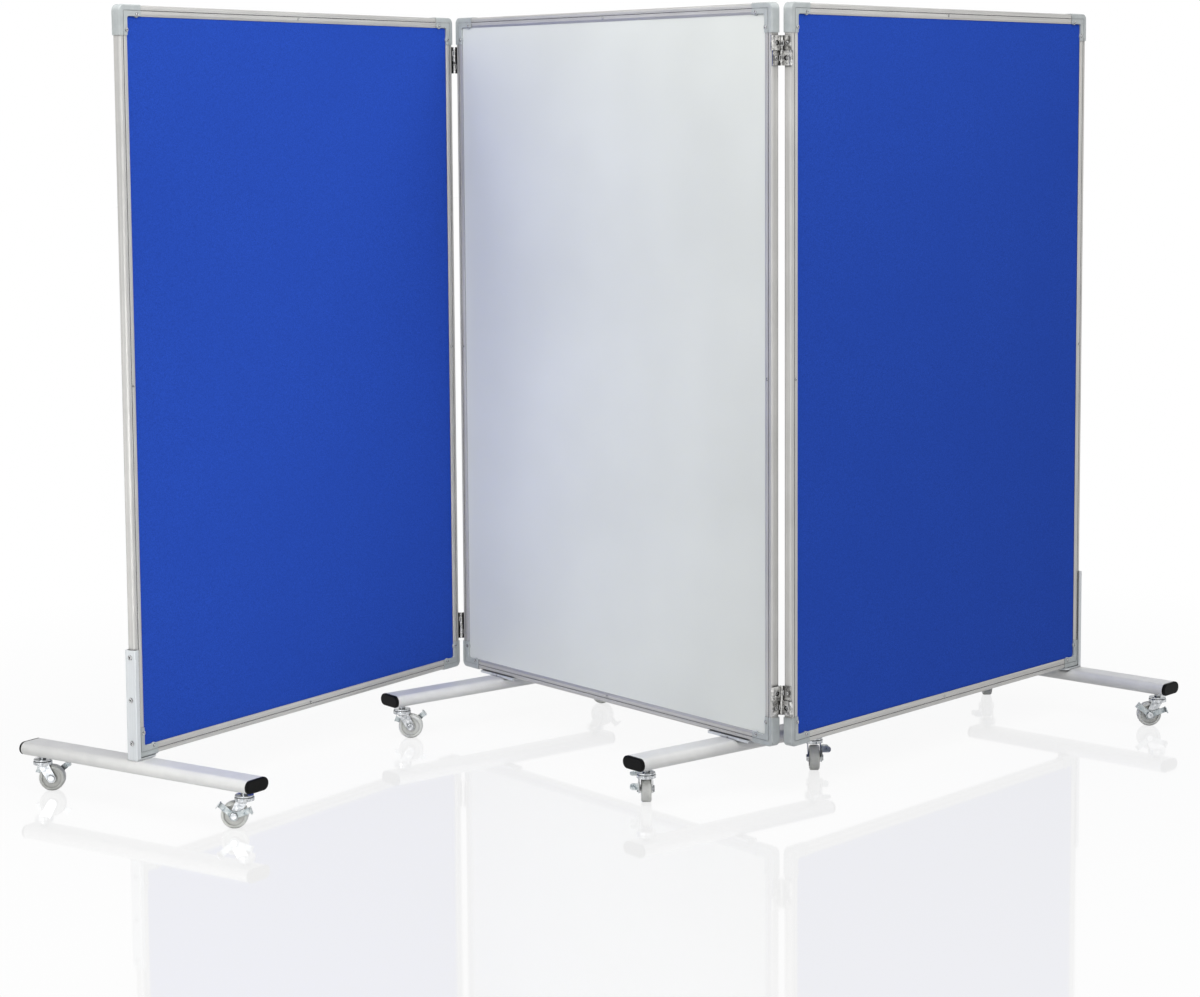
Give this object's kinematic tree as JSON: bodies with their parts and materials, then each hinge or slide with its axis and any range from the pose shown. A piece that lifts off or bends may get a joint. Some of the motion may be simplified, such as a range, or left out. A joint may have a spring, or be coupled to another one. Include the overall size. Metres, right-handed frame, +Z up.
{
  "type": "rolling room divider",
  "caption": "Folding room divider of framed felt pinboards and a whiteboard, set in a zig-zag on double-action hinges and standing on cross feet with braked swivel casters.",
  "frame": {"origin": "middle of the underside of the bounding box, on the floor", "axes": "+Z up, -Y out of the middle board's front face, +X along the middle board to the right as seen from its front"},
  "size_m": [1.1468, 2.128, 1.5012],
  "materials": {
    "frame_aluminium": "satin anodised",
    "corner_plastic": "fine matt",
    "blue_felt": "pressed felt",
    "whiteboard": "gloss",
    "board_core": "soft fibreboard",
    "fastener_steel": "zinc plated",
    "hinge_steel": "nickel plated",
    "foot_paint": "light grey powder coat",
    "bracket_aluminium": "mill",
    "plug_black": "fine matt",
    "caster_zinc": "bright zinc",
    "brake_steel": "bright zinc",
    "wheel_plastic": "translucent grey"
  },
  "bodies": {
    "left_panel": {"left_core": "board_core", "left_sheets": "blue_felt", "left_rails": "frame_aluminium", "left_stiles": "frame_aluminium", "left_corner_caps": "corner_plastic", "left_fasteners": "fastener_steel", "left_hinge_plates": "hinge_steel", "left_caster_stems": "caster_zinc", "left_foot_tube": "foot_paint", "left_foot_plugs": "plug_black", "left_foot_bracket": "foot_paint"},
    "middle_panel": {"middle_core": "board_core", "middle_sheets": "whiteboard", "middle_rails": "frame_aluminium", "middle_stiles": "frame_aluminium", "middle_corner_caps": "corner_plastic", "middle_fasteners": "fastener_steel", "middle_hinge_plates": "hinge_steel", "middle_caster_stems": "caster_zinc", "middle_foot_tubes": "foot_paint", "middle_foot_plugs": "plug_black", "middle_foot_brackets": "bracket_aluminium", "hinge_pins": "hinge_steel"},
    "right_panel": {"right_core": "board_core", "right_sheets": "blue_felt", "right_rails": "frame_aluminium", "right_stiles": "frame_aluminium", "right_corner_caps": "corner_plastic", "right_fasteners": "fastener_steel", "right_hinge_plates": "hinge_steel", "right_caster_stems": "caster_zinc", "right_foot_tube": "foot_paint", "right_foot_plugs": "plug_black", "right_foot_bracket": "foot_paint"},
    "left_back_fork": {"left_back_fork": "caster_zinc"},
    "left_back_wheel": {"left_back_wheel": "wheel_plastic"},
    "left_back_brake": {"left_back_brake": "brake_steel"},
    "left_front_fork": {"left_front_fork": "caster_zinc"},
    "left_front_wheel": {"left_front_wheel": "wheel_plastic"},
    "left_front_brake": {"left_front_brake": "brake_steel"},
    "middle_left_front_fork": {"middle_left_front_fork": "caster_zinc"},
    "middle_left_front_wheel": {"middle_left_front_wheel": "wheel_plastic"},
    "middle_left_front_brake": {"middle_left_front_brake": "brake_steel"},
    "middle_left_back_fork": {"middle_left_back_fork": "caster_zinc"},
    "middle_left_back_wheel": {"middle_left_back_wheel": "wheel_plastic"},
    "middle_left_back_brake": {"middle_left_back_brake": "brake_steel"},
    "middle_right_front_fork": {"middle_right_front_fork": "caster_zinc"},
    "middle_right_front_wheel": {"middle_right_front_wheel": "wheel_plastic"},
    "middle_right_front_brake": {"middle_right_front_brake": "brake_steel"},
    "middle_right_back_fork": {"middle_right_back_fork": "caster_zinc"},
    "middle_right_back_wheel": {"middle_right_back_wheel": "wheel_plastic"},
    "middle_right_back_brake": {"middle_right_back_brake": "brake_steel"},
    "right_front_fork": {"right_front_fork": "caster_zinc"},
    "right_front_wheel": {"right_front_wheel": "wheel_plastic"},
    "right_front_brake": {"right_front_brake": "brake_steel"},
    "right_back_fork": {"right_back_fork": "caster_zinc"},
    "right_back_wheel": {"right_back_wheel": "wheel_plastic"},
    "right_back_brake": {"right_back_brake": "brake_steel"}
  },
  "joints": [
    {"name": "left_fold", "type": "hinge", "parent": "middle_panel", "child": "left_panel", "pos_m": [-0.54793, -0.00347, 0.8], "axis": [0, 0, 1], "range_deg": [-107.3, 70.7]},
    {"name": "right_fold", "type": "hinge", "parent": "middle_panel", "child": "right_panel", "pos_m": [0.46007, 0.01953, 0.8], "axis": [0, 0, 1], "range_deg": [-98.7, 79.3]},
    {"name": "left_back_swivel", "type": "hinge", "parent": "left_panel", "child": "left_back_fork", "pos_m": [-0.51173, -1.02596, 0.055], "axis": [0, 0, 1], "continuous": true},
    {"name": "left_back_roll", "type": "hinge", "parent": "left_back_fork", "child": "left_back_wheel", "pos_m": [-0.5003, -1.01205, 0.025], "axis": [-0.7727, 0.6347, 0], "continuous": true},
    {"name": "left_back_brake", "type": "hinge", "parent": "left_back_fork", "child": "left_back_brake", "pos_m": [-0.5003, -1.01205, 0.025], "axis": [-0.7727, 0.6347, 0], "range_deg": [-20, 0]},
    {"name": "left_front_swivel", "type": "hinge", "parent": "left_panel", "child": "left_front_fork", "pos_m": [-0.01907, -0.87252, 0.055], "axis": [0, 0, 1], "continuous": true},
    {"name": "left_front_roll", "type": "hinge", "parent": "left_front_fork", "child": "left_front_wheel", "pos_m": [-0.0305, -0.88643, 0.025], "axis": [0.7727, -0.6347, 0], "continuous": true},
    {"name": "left_front_brake", "type": "hinge", "parent": "left_front_fork", "child": "left_front_brake", "pos_m": [-0.0305, -0.88643, 0.025], "axis": [0.7727, -0.6347, 0], "range_deg": [-20, 0]},
    {"name": "middle_left_front_swivel", "type": "hinge", "parent": "middle_panel", "child": "middle_left_front_fork", "pos_m": [-0.41893, -0.24997, 0.055], "axis": [0, 0, 1], "continuous": true},
    {"name": "middle_left_front_roll", "type": "hinge", "parent": "middle_left_front_fork", "child": "middle_left_front_wheel", "pos_m": [-0.4075, -0.23606, 0.025], "axis": [-0.7727, 0.6347, 0], "continuous": true},
    {"name": "middle_left_front_brake", "type": "hinge", "parent": "middle_left_front_fork", "child": "middle_left_front_brake", "pos_m": [-0.4075, -0.23606, 0.025], "axis": [-0.7727, 0.6347, 0], "range_deg": [-20, 0]},
    {"name": "middle_left_back_swivel", "type": "hinge", "parent": "middle_panel", "child": "middle_left_back_fork", "pos_m": [-0.41893, 0.26603, 0.055], "axis": [0, 0, 1], "continuous": true},
    {"name": "middle_left_back_roll", "type": "hinge", "parent": "middle_left_back_fork", "child": "middle_left_back_wheel", "pos_m": [-0.40201, 0.27218, 0.025], "axis": [-0.342, 0.9397, 0], "continuous": true},
    {"name": "middle_left_back_brake", "type": "hinge", "parent": "middle_left_back_fork", "child": "middle_left_back_brake", "pos_m": [-0.40201, 0.27218, 0.025], "axis": [-0.342, 0.9397, 0], "range_deg": [-20, 0]},
    {"name": "middle_right_front_swivel", "type": "hinge", "parent": "middle_panel", "child": "middle_right_front_fork", "pos_m": [0.33107, -0.20797, 0.055], "axis": [0, 0, 1], "continuous": true},
    {"name": "middle_right_front_roll", "type": "hinge", "parent": "middle_right_front_fork", "child": "middle_right_front_wheel", "pos_m": [0.31716, -0.19655, 0.025], "axis": [-0.6347, -0.7727, 0], "continuous": true},
    {"name": "middle_right_front_brake", "type": "hinge", "parent": "middle_right_front_fork", "child": "middle_right_front_brake", "pos_m": [0.31716, -0.19655, 0.025], "axis": [-0.6347, -0.7727, 0], "range_deg": [-20, 0]},
    {"name": "middle_right_back_swivel", "type": "hinge", "parent": "middle_panel", "child": "middle_right_back_fork", "pos_m": [0.33107, 0.22403, 0.055], "axis": [0, 0, 1], "continuous": true},
    {"name": "middle_right_back_roll", "type": "hinge", "parent": "middle_right_back_fork", "child": "middle_right_back_wheel", "pos_m": [0.34498, 0.2126, 0.025], "axis": [0.6347, 0.7727, 0], "continuous": true},
    {"name": "middle_right_back_brake", "type": "hinge", "parent": "middle_right_back_fork", "child": "middle_right_back_brake", "pos_m": [0.34498, 0.2126, 0.025], "axis": [0.6347, 0.7727, 0], "range_deg": [-20, 0]},
    {"name": "right_front_swivel", "type": "hinge", "parent": "right_panel", "child": "right_front_fork", "pos_m": [0.53566, 1.02958, 0.055], "axis": [0, 0, 1], "continuous": true},
    {"name": "right_front_roll", "type": "hinge", "parent": "right_front_fork", "child": "right_front_wheel", "pos_m": [0.52423, 1.01567, 0.025], "axis": [0.7727, -0.6347, 0], "continuous": true},
    {"name": "right_front_brake", "type": "hinge", "parent": "right_front_fork", "child": "right_front_brake", "pos_m": [0.52423, 1.01567, 0.025], "axis": [0.7727, -0.6347, 0], "range_deg": [-20, 0]},
    {"name": "right_back_swivel", "type": "hinge", "parent": "right_panel", "child": "right_back_fork", "pos_m": [0.10863, 0.96424, 0.055], "axis": [0, 0, 1], "continuous": true},
    {"name": "right_back_roll", "type": "hinge", "parent": "right_back_fork", "child": "right_back_wheel", "pos_m": [0.09484, 0.97581, 0.025], "axis": [-0.6428, -0.766, 0], "continuous": true},
    {"name": "right_back_brake", "type": "hinge", "parent": "right_back_fork", "child": "right_back_brake", "pos_m": [0.09484, 0.97581, 0.025], "axis": [-0.6428, -0.766, 0], "range_deg": [-20, 0]}
  ]
}
